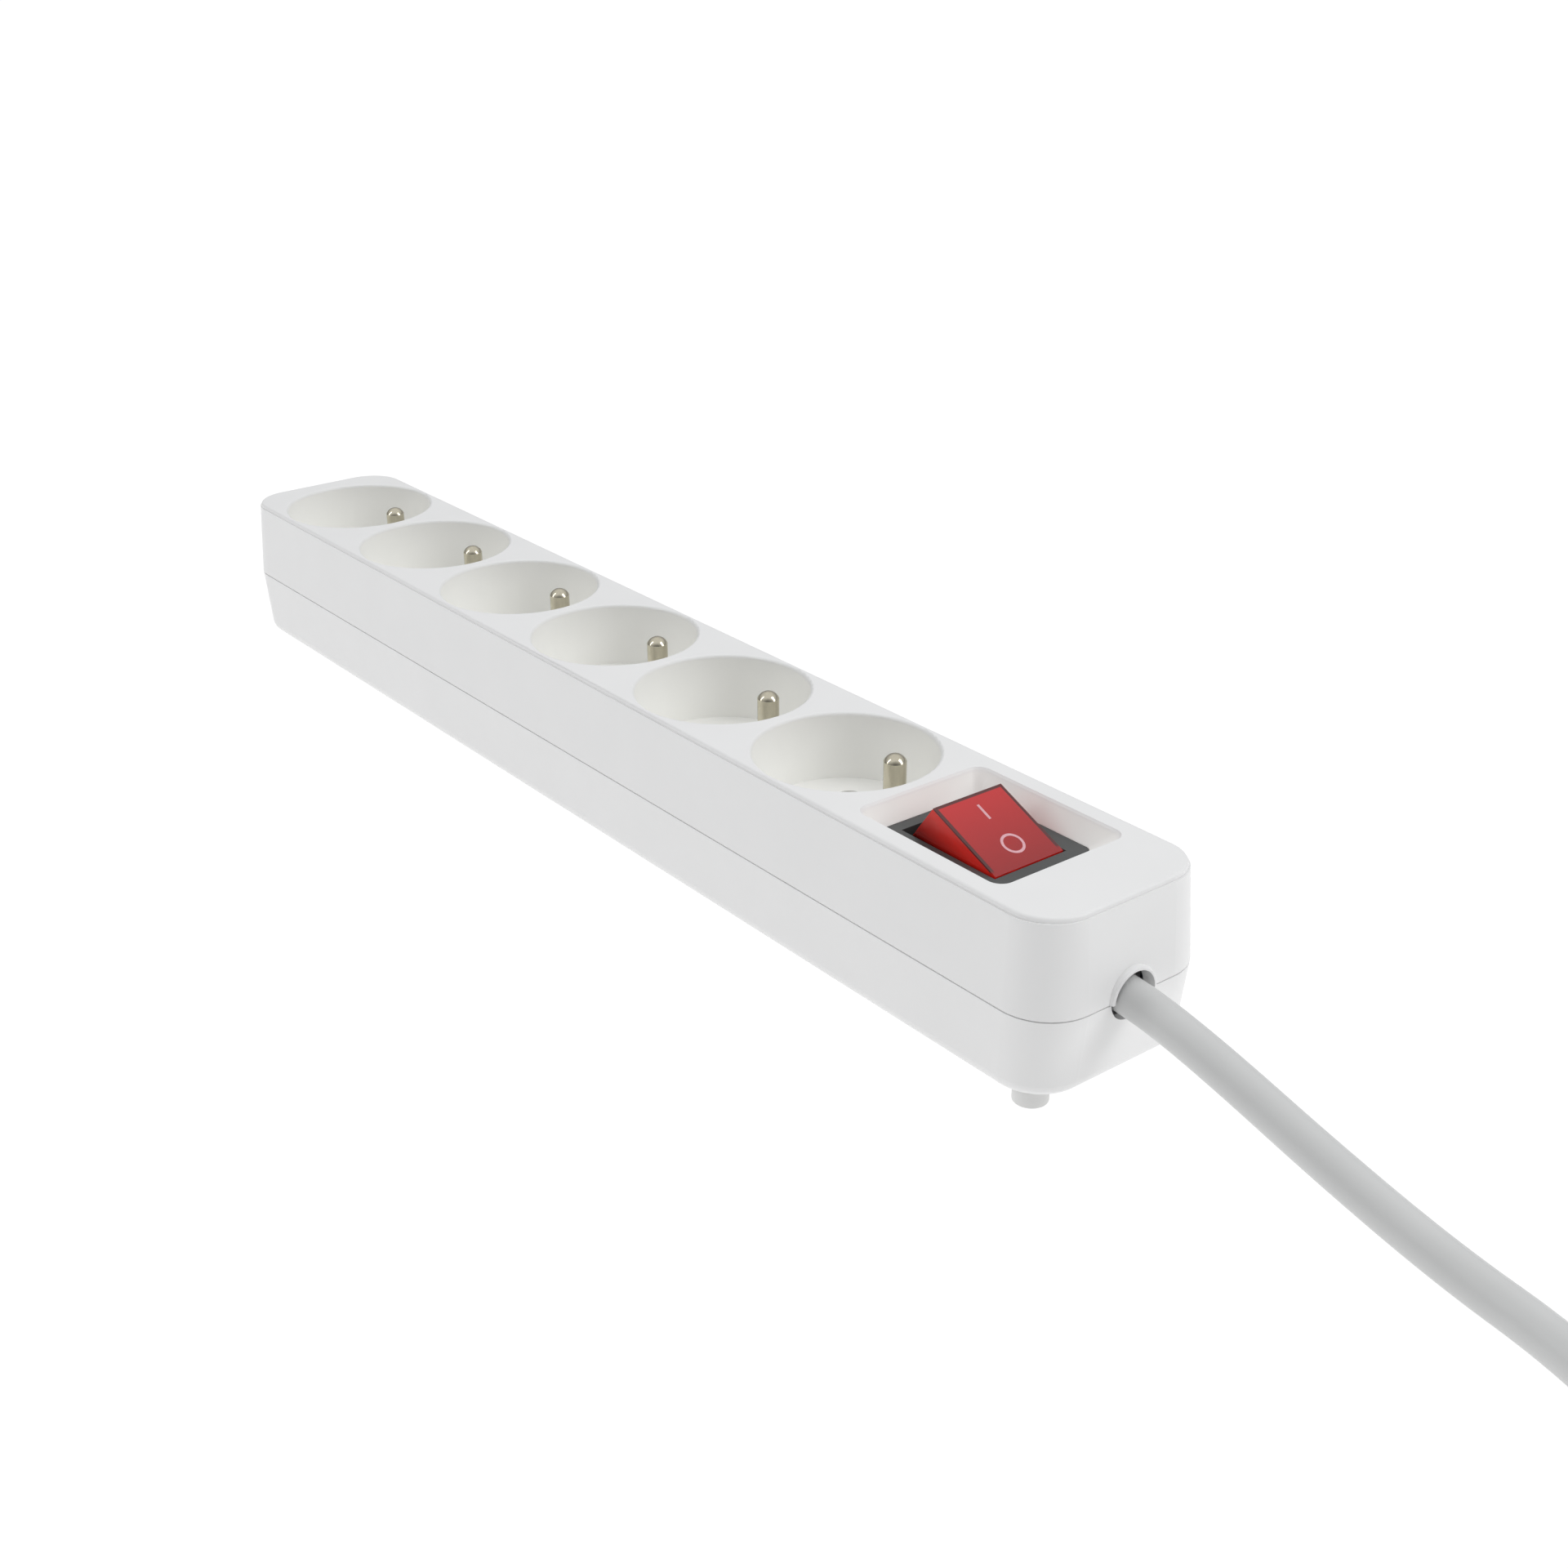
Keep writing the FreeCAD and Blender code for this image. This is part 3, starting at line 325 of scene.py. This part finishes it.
def principled(name, colour, roughness, **sockets):
    """A new material. Its even values sit on the shader's own sockets."""
    material = bpy.data.materials.new(name)
    material.use_nodes = True
    shader = material.node_tree.nodes["Principled BSDF"]
    shader.inputs["Base Color"].default_value = (*colour, 1)
    shader.inputs["Roughness"].default_value = roughness
    for socket, value in sockets.items():
        shader.inputs[socket.replace("_", " ")].default_value = value
    return material, material.node_tree, shader


def object_point(tree):
    """The place on the object, in metres."""
    return tree.nodes.new("ShaderNodeTexCoord").outputs["Object"]


def noise(tree, scale, detail=3.0, point=None):
    """A cloud of values between 0 and 1, that many cells to the metre."""
    node = tree.nodes.new("ShaderNodeTexNoise")
    node.inputs["Scale"].default_value = scale
    node.inputs["Detail"].default_value = detail
    tree.links.new(point or object_point(tree), node.inputs["Vector"])
    return node.outputs["Fac"]


def mapped(tree, value, start, end, low=0.0, high=1.0):
    """Maps a value from start..end onto low..high, and holds it there beyond."""
    node = tree.nodes.new("ShaderNodeMapRange")
    for name, number in (("From Min", start), ("From Max", end), ("To Min", low), ("To Max", high)):
        node.inputs[name].default_value = number
    tree.links.new(value, node.inputs["Value"])
    return node.outputs["Result"]


def spread(tree, cloud, low, high):
    """Maps a noise cloud onto low to high."""
    return mapped(tree, cloud, 0.3, 0.7, low, high)


def maths(tree, operation, value, other=None):
    """One sum on a value, with a second value or number."""
    node = tree.nodes.new("ShaderNodeMath")
    node.operation = operation
    tree.links.new(value, node.inputs[0])
    if isinstance(other, (int, float)):
        node.inputs[1].default_value = other
    elif other is not None:
        tree.links.new(other, node.inputs[1])
    return node.outputs["Value"]


def mixed(tree, share, colour_a, colour_b):
    """A colour between two, by a share from 0 to 1."""
    node = tree.nodes.new("ShaderNodeMix")
    node.data_type = "RGBA"
    for socket, colour in (("A", colour_a), ("B", colour_b)):
        if isinstance(colour, tuple):
            node.inputs[socket].default_value = (*colour, 1)
        else:
            tree.links.new(colour, node.inputs[socket])
    tree.links.new(share, node.inputs["Factor"])
    return node.outputs["Result"]


def bump(tree, shader, height, distance):
    """Small relief, that deep in metres."""
    node = tree.nodes.new("ShaderNodeBump")
    node.inputs["Distance"].default_value = distance
    tree.links.new(height, node.inputs["Height"])
    tree.links.new(node.outputs["Normal"], shader.inputs["Normal"])


def moulded_surface(tree, shader, dark, pale, gloss, grain=FINE_GRAIN):
    """Slightly uneven colour and gloss over a fine grain."""
    cloud = spread(tree, noise(tree, BLOTCHES), 0, 1)
    tree.links.new(mixed(tree, cloud, dark, pale), shader.inputs["Base Color"])
    tree.links.new(spread(tree, noise(tree, GLOSS_PATCHES, 5), *gloss), shader.inputs["Roughness"])
    bump(tree, shader, noise(tree, grain, 2), GRAIN_DEPTH)


def moulded(name, colour, roughness, grain=FINE_GRAIN, uneven=0.03):
    """Moulded plastic of one colour."""
    material, tree, shader = principled(name, colour, roughness)
    darker = tuple(c * (1 - uneven) for c in colour)
    moulded_surface(tree, shader, darker, colour, (roughness * 0.9, roughness * 1.12), grain)
    return material


def metal(name, colour, roughness, stretch=(1, 1, 1), scale=1500):
    """Bare or plated metal with fine marks along one axis."""
    material, tree, shader = principled(name, colour, roughness, Metallic=1.0)
    mapping = tree.nodes.new("ShaderNodeMapping")
    mapping.inputs["Scale"].default_value = stretch
    tree.links.new(object_point(tree), mapping.inputs["Vector"])
    fine = noise(tree, scale, point=mapping.outputs["Vector"])
    darker = tuple(c * 0.9 for c in colour)
    tree.links.new(mixed(tree, spread(tree, fine, 0, 1), darker, colour), shader.inputs["Base Color"])
    tree.links.new(spread(tree, fine, roughness * 0.8, roughness * 1.25), shader.inputs["Roughness"])
    bump(tree, shader, fine, 0.004 * MM)
    return material


# ---- materials ----------------------------------------------------------------------------
# Inside this box round the hollows the case is painted lighter and warmer, as painted light; outside it, darker,
# as painted shade.
HOLLOWS_IN_LOW = Vector((6.5, 2, 1)) * MM  # from the case's low corner to the hollows' box
HOLLOWS_IN_HIGH = Vector((18.5, 2, 0.5)) * MM  # and from its high corner
HOLLOWS_SOFT = 0.4 * MM
EDGE_SHADE_WIDTH = 0.72 * MM  # width of the painted shade line along the edges of the rocker's top


def outside_share(tree, low, high, soft):
    """0 inside a box and 1 outside it, with a soft change between."""
    split = tree.nodes.new("ShaderNodeSeparateXYZ")
    tree.links.new(object_point(tree), split.inputs["Vector"])
    past = None
    for axis, value in enumerate(split.outputs):
        middle = (low[axis] + high[axis]) / 2
        away = maths(tree, "ABSOLUTE", maths(tree, "SUBTRACT", value, middle))
        beyond = maths(tree, "SUBTRACT", away, (high[axis] - low[axis]) / 2)
        past = beyond if past is None else maths(tree, "MAXIMUM", past, beyond)
    return mapped(tree, past, -soft, soft)


def case_white():
    """The case's white plastic, with painted light and shade: lighter and a little warm in its hollows, darker on
    its outer faces.
    """
    material, tree, shader = principled("housing_white", (0.88, 0.88, 0.87), 0.42)
    low, high = SHELL_LOW + HOLLOWS_IN_LOW, SHELL_HIGH - HOLLOWS_IN_HIGH
    # Painted light and shade: lighter and warmer inside the box round the hollows, darker on the outer faces.
    outside = outside_share(tree, low, high, HOLLOWS_SOFT)
    pale_tone_and_painted_light = mixed(tree, outside, (0.945, 0.943, 0.92), (0.862, 0.862, 0.862))
    dark_tone_and_painted_light = mixed(tree, outside, (0.935, 0.933, 0.905), (0.848, 0.848, 0.848))
    moulded_surface(tree, shader, dark_tone_and_painted_light, pale_tone_and_painted_light, (0.38, 0.47))
    return material


def rocker_axes(tree):
    """The place on the rocker from its pivot: along its top, across it, and up from the pivot."""
    mapping = tree.nodes.new("ShaderNodeMapping")
    level = Matrix.Rotation(-ROCKER_TILT, 3, "Y")
    mapping.inputs["Rotation"].default_value = (0, -ROCKER_TILT, 0)
    mapping.inputs["Location"].default_value = -(level @ PIVOT)
    tree.links.new(object_point(tree), mapping.inputs["Vector"])
    split = tree.nodes.new("ShaderNodeSeparateXYZ")
    tree.links.new(mapping.outputs["Vector"], split.inputs["Vector"])
    return split.outputs


def painted_edge_shade(tree, along, across, up):
    """Painted shade: up to 0.95 on the line along the edges of the rocker's top, and 0 at its lowered end."""
    past_end = maths(tree, "SUBTRACT", maths(tree, "ABSOLUTE", along), ROCKER_HALF_LENGTH - EDGE_SHADE_WIDTH)
    past_side = maths(tree, "SUBTRACT", maths(tree, "ABSOLUTE", across), ROCKER_HALF_WIDTH - EDGE_SHADE_WIDTH)
    fade_start, fade_end = ROCKER_HALF_LENGTH - 1.6 * MM, ROCKER_HALF_LENGTH - 0.8 * MM
    raised = mapped(tree, along, fade_start, fade_end, 0.95, 0.0)
    near_edge = mapped(tree, maths(tree, "MAXIMUM", past_end, past_side), 0, 0.12 * MM)
    near_top = mapped(tree, up, ROCKER_TOP - 0.45 * MM, ROCKER_TOP - 0.25 * MM)
    return maths(tree, "MULTIPLY", maths(tree, "MULTIPLY", near_edge, near_top), raised)


def rocker_red():
    """Clear red moulding: dull red on top and painted darker towards its lowered end, its sides painted darker
    towards the bottom, with a painted shade line round its top.
    """
    material, tree, shader = principled(
        "rocker_red", (0.6, 0.03, 0.03), 0.24, Subsurface_Weight=0.25, Subsurface_Scale=0.002, IOR=1.5
    )
    shader.inputs["Subsurface Radius"].default_value = (1.0, 0.15, 0.1)
    along, across, up = rocker_axes(tree)
    # Painted shade: the top darker towards the lowered end, the sides darker towards the bottom.
    end_share = mapped(tree, along, -ROCKER_HALF_LENGTH, ROCKER_HALF_LENGTH)
    top = mixed(tree, end_share, (0.58, 0.024, 0.026), (0.31, 0.014, 0.015))
    side = mixed(tree, mapped(tree, up, 0.5 * MM, 8.0 * MM), (0.08, 0.003, 0.002), (0.72, 0.022, 0.014))
    on_top = mapped(tree, up, ROCKER_TOP - 0.08 * MM, ROCKER_TOP - 0.02 * MM)
    plain = mixed(tree, on_top, side, top)
    # Painted shade: a dark line along the edges of the top, fading out at the lowered end.
    edge = painted_edge_shade(tree, along, across, up)
    tree.links.new(mixed(tree, edge, plain, (0.075, 0.022, 0.022)), shader.inputs["Base Color"])
    bump(tree, shader, noise(tree, 900, 2), 0.006 * MM)
    return material


def woven():
    """A hook-and-loop strap of dark woven fabric."""
    material, tree, shader = principled("tie_fabric", (0.02, 0.02, 0.022), 0.85, Sheen_Weight=0.4)
    wave = tree.nodes.new("ShaderNodeTexWave")
    wave.inputs["Scale"].default_value = 400
    wave.inputs["Distortion"].default_value = 1.5
    tree.links.new(object_point(tree), wave.inputs["Vector"])
    weave = wave.outputs["Fac"]
    cloth = mixed(tree, weave, (0.012, 0.012, 0.014), (0.05, 0.05, 0.055))
    tree.links.new(cloth, shader.inputs["Base Color"])
    bump(tree, shader, weave, 0.15 * MM)
    return material


def striped_wire():
    """Green and yellow insulation, striped round the wire."""
    material, tree, shader = principled("wire_green_yellow", (0.3, 0.5, 0.05), 0.45)
    wave = tree.nodes.new("ShaderNodeTexWave")
    wave.inputs["Scale"].default_value = 60
    tree.links.new(object_point(tree), wave.inputs["Vector"])
    stripes = wave.outputs["Fac"]
    tree.links.new(mixed(tree, stripes, (0.05, 0.3, 0.06), (0.75, 0.68, 0.05)), shader.inputs["Base Color"])
    return material


def clear_glass():
    """The neon lamp's bulb."""
    material, tree, shader = principled("lamp_glass", (0.95, 0.9, 0.86), 0.05, Transmission_Weight=0.9)
    tree.links.new(spread(tree, noise(tree, 800), 0.03, 0.1), shader.inputs["Roughness"])
    return material


def mark_ink():
    """The pale pink printed ink of the I and the O."""
    material, tree, shader = principled("mark_ink", (0.85, 0.5, 0.53), 0.5)
    cloud = spread(tree, noise(tree, 2000), 0, 1)
    tree.links.new(mixed(tree, cloud, (0.70, 0.36, 0.41), (0.80, 0.46, 0.50)), shader.inputs["Base Color"])
    return material


materials = {
    "housing_white": case_white(),
    "foot_white": moulded("foot_white", (0.80, 0.80, 0.79), 0.5),
    "inner_white": moulded("inner_white", (0.80, 0.79, 0.74), 0.5),
    "plug_white": moulded("plug_white", (0.82, 0.82, 0.81), 0.4),
    "switch_black": moulded("switch_black", (0.070, 0.075, 0.074), 0.45, uneven=0.15),
    "cord_grey": moulded("cord_grey", (0.62, 0.625, 0.622), 0.42, grain=1200),
    "wire_brown": moulded("wire_brown", (0.16, 0.06, 0.03), 0.45),
    "wire_blue": moulded("wire_blue", (0.03, 0.12, 0.45), 0.45),
    "resistor_tan": moulded("resistor_tan", (0.6, 0.42, 0.22), 0.4),
    "screw_steel": metal("screw_steel", (0.6, 0.6, 0.6), 0.35),
    "spring_steel": metal("spring_steel", (0.55, 0.55, 0.56), 0.3),
    "contact_brass": metal("contact_brass", (0.8, 0.6, 0.28), 0.3, stretch=(0.1, 1, 1)),
    "contact_copper": metal("contact_copper", (0.8, 0.48, 0.32), 0.3),
    "pin_nickel": metal("pin_nickel", (0.58, 0.54, 0.43), 0.13, stretch=(1, 1, 0.2)),
    "wire_green_yellow": striped_wire(),
    "lamp_glass": clear_glass(),
    "rocker_red": rocker_red(),
    "tie_fabric": woven(),
    "mark_ink": mark_ink(),
}


def paint(thing, slot):
    """Gives an object one material."""
    thing.data.materials.clear()
    thing.data.materials.append(materials[slot])


for part in frame["record"]["subparts"]:
    paint(frame["nodes"][part["node"]], part["material_slot"])
paint(cord, "cord_grey")
for piece in strap:
    paint(piece, "tie_fabric")
for spring in springs:
    paint(spring, "spring_steel")


# ---- the rocker's marks -------------------------------------------------------------------
MARK_Y = 0.35 * MM  # both marks stand a little off the rocker's middle line
MARK_T = 0.02 * MM
STROKE = 0.56 * MM
BAR_HALF = 1.95 * MM
BAR_ALONG = -4.75 * MM  # from the pivot, towards the raised end
RING_R = 2.47 * MM
RING_ALONG = 4.0 * MM


def mark(name, faces, points, along):
    """A thin printed mark on the rocker's top."""
    low, high = ROCKER_TOP - MARK_T, ROCKER_TOP + MARK_T
    put = Matrix.Translation(PIVOT) @ Matrix.Rotation(ROCKER_TILT, 4, "Y")
    verts = [put @ Vector((along + x, MARK_Y + y, z)) for z in (high, low) for x, y in points]
    paint(mesh_piece(name, verts, faces, "rocker"), "mark_ink")


def make_on_mark():
    """The I, near the raised end."""
    x, y = BAR_HALF, STROKE / 2
    bar = [(-x, -y), (x, -y), (x, y), (-x, y)]
    sides = [(k, k + 4, (k + 1) % 4 + 4, (k + 1) % 4) for k in range(4)]
    mark("mark_on", [(0, 1, 2, 3)] + sides, bar, BAR_ALONG)


def make_off_mark(sides=96):
    """The O, near the end towards the cable."""
    turns = [math.tau * k / sides for k in range(sides)]
    points = [(r * math.cos(t), r * math.sin(t)) for r in (RING_R, RING_R - STROKE) for t in turns]
    faces = []
    for k in range(sides):
        after = (k + 1) % sides
        faces.append((k, after, sides + after, sides + k))
        faces.append((k, 2 * sides + k, 2 * sides + after, after))
        faces.append((sides + after, 3 * sides + after, 3 * sides + k, sides + k))
    mark("mark_off", faces, points, RING_ALONG)


make_on_mark()
make_off_mark()


# ---- stage and light ----------------------------------------------------------------------
FLOOR_HALF = 6.0


def make_floor():
    """A plain, nearly white surface."""
    mesh = bpy.data.meshes.new("floor")
    corners = [(x * FLOOR_HALF, y * FLOOR_HALF, 0) for x, y in ((-1, -1), (1, -1), (1, 1), (-1, 1))]
    mesh.from_pydata(corners, [], [(0, 1, 2, 3)])
    floor = bpy.data.objects.new("floor", mesh)
    scene.collection.objects.link(floor)
    material, tree, shader = principled("floor", (0.12, 0.12, 0.12), 0.9)
    shader.inputs["Specular IOR Level"].default_value = 0.0
    shader.inputs["Emission Color"].default_value = (1, 1, 1, 1)
    shader.inputs["Emission Strength"].default_value = 0.96
    mesh.materials.append(material)


def make_world(horizon, zenith, dim):
    """White studio light: brightest overhead, and dimmer from behind the camera."""
    world = bpy.data.worlds.new("studio")
    world.use_nodes = True
    tree = world.node_tree
    direction = tree.nodes.new("ShaderNodeTexCoord").outputs["Generated"]
    split = tree.nodes.new("ShaderNodeSeparateXYZ")
    tree.links.new(direction, split.inputs["Vector"])
    height = mapped(tree, split.outputs["Z"], 0, 0.8, horizon, zenith)
    dot = tree.nodes.new("ShaderNodeVectorMath")
    dot.operation = "DOT_PRODUCT"
    dot.inputs[1].default_value = facing(CAMERA_AZIMUTH, 0)
    tree.links.new(direction, dot.inputs[0])
    shade = mapped(tree, dot.outputs["Value"], 0.4, 0.9, 1, dim)
    background = tree.nodes["Background"]
    background.inputs["Color"].default_value = (0.985, 0.992, 1, 1)
    tree.links.new(maths(tree, "MULTIPLY", height, shade), background.inputs["Strength"])
    scene.world = world


def soft_box(name, turn, elevation, distance, size, watts):
    """A tall soft box at a turn from the camera's azimuth, aimed at the strip."""
    data = bpy.data.lights.new(name, "AREA")
    data.shape = "RECTANGLE"
    data.size, data.size_y = size
    data.energy = watts
    light = bpy.data.objects.new(name, data)
    scene.collection.objects.link(light)
    target = Vector((0, 0, 0.02))
    towards = facing(CAMERA_AZIMUTH + math.radians(turn), math.radians(elevation))
    light.location = target + towards * distance
    light.rotation_euler = towards.to_track_quat("Z", "Y").to_euler()


make_floor()
make_world(horizon=0.18, zenith=0.93, dim=0.25)
soft_box("left_box", turn=-85, elevation=38, distance=1.6, size=(0.3, 1.1), watts=3)
soft_box("right_box", turn=72, elevation=38, distance=1.6, size=(0.6, 1.1), watts=7)
scene.view_settings.view_transform = "Standard"
